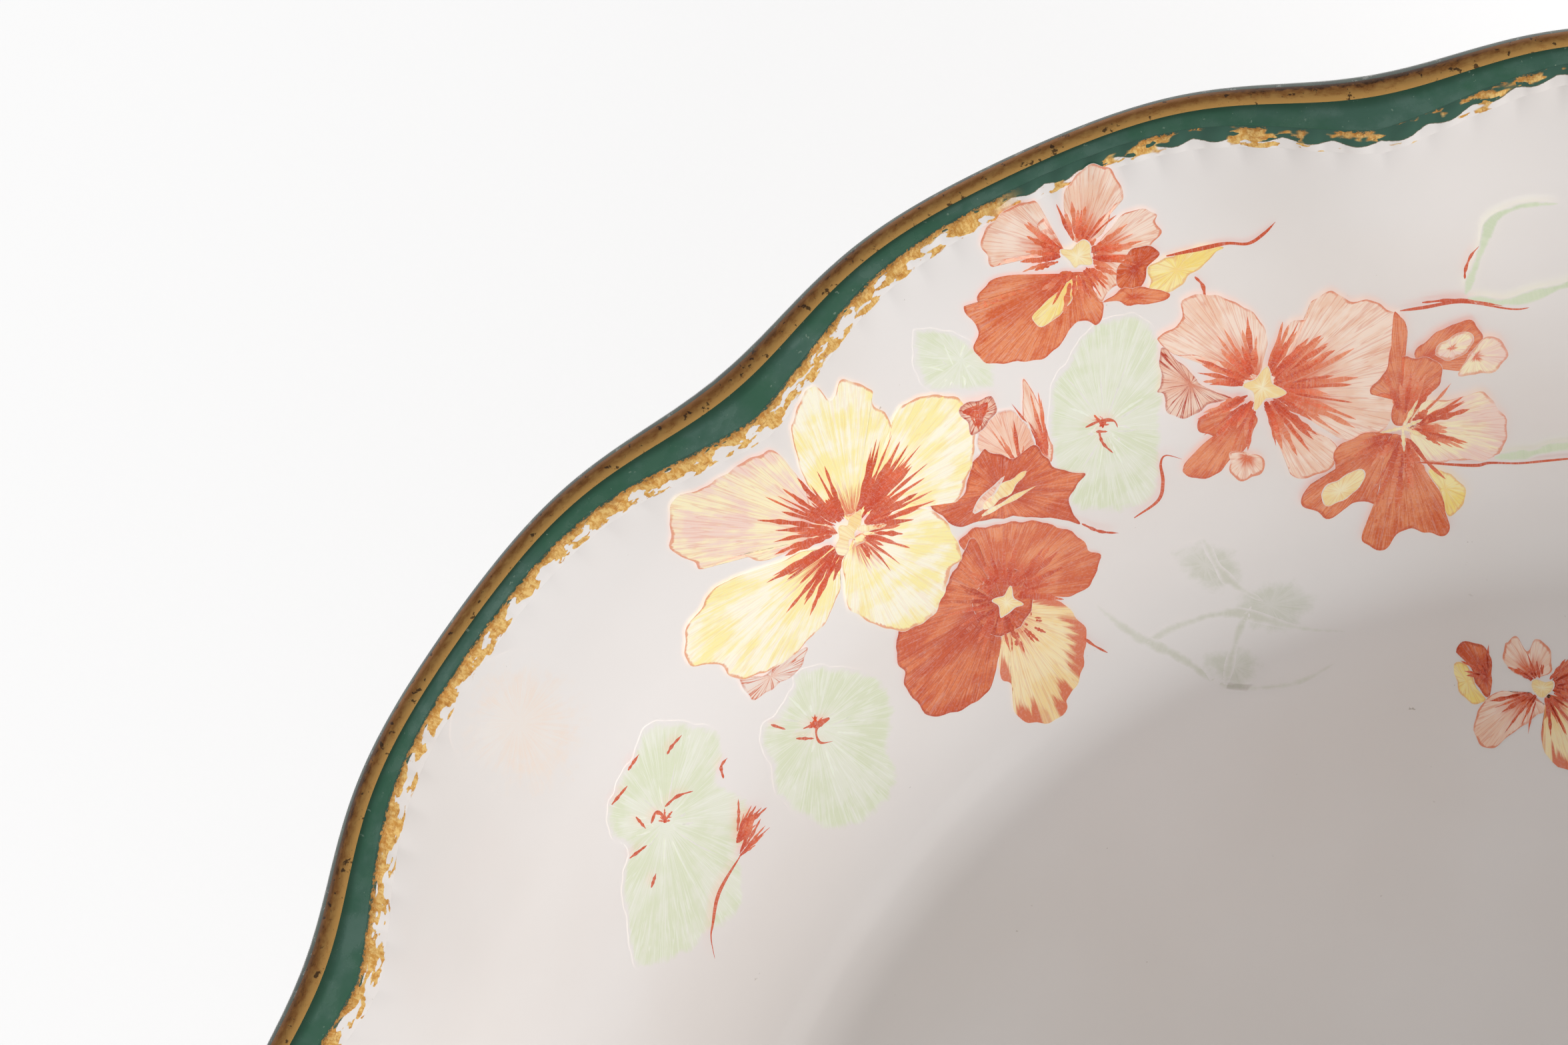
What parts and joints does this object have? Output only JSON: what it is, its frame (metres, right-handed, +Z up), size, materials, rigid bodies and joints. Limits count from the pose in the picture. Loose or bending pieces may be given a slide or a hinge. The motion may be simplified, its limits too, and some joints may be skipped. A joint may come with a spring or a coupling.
{
  "type": "serving bowl",
  "caption": "Round porcelain serving bowl with a scalloped, gilded and green-enamelled rim, a low foot ring and floral sprays on the wall and floor.",
  "frame": {"origin": "centre of the circle that the foot ring stands on, on the table's surface", "axes": "+Z is up along the bowl's axis; +X passes through a crest of the scalloped rim"},
  "size_m": [0.2442, 0.2442, 0.0632],
  "materials": {
    "porcelain": "clear glossy glaze over ivory white porcelain",
    "foot": "glazed flanks, bare polished bearing edge",
    "gold": "worn burnished gold with dark burnt edges",
    "lace": "brushed raised gold, ragged inner edge",
    "green_enamel": "grey-green fired enamel, slightly mottled",
    "flowers": "coral, yellow and pale green ceramic transfer colours"
  },
  "bodies": {
    "root": {"bowl_body": "porcelain", "foot_ring": "foot", "gold_rim_line": "gold", "green_rim_band": "green_enamel", "gold_lace_border": "lace", "outer_edge_enamel": "green_enamel", "inner_spray_1": "flowers", "inner_spray_2": "flowers", "inner_spray_3": "flowers", "outer_spray_1": "flowers", "outer_spray_2": "flowers", "outer_spray_3": "flowers", "well_sprig": "flowers"}
  },
  "joints": []
}
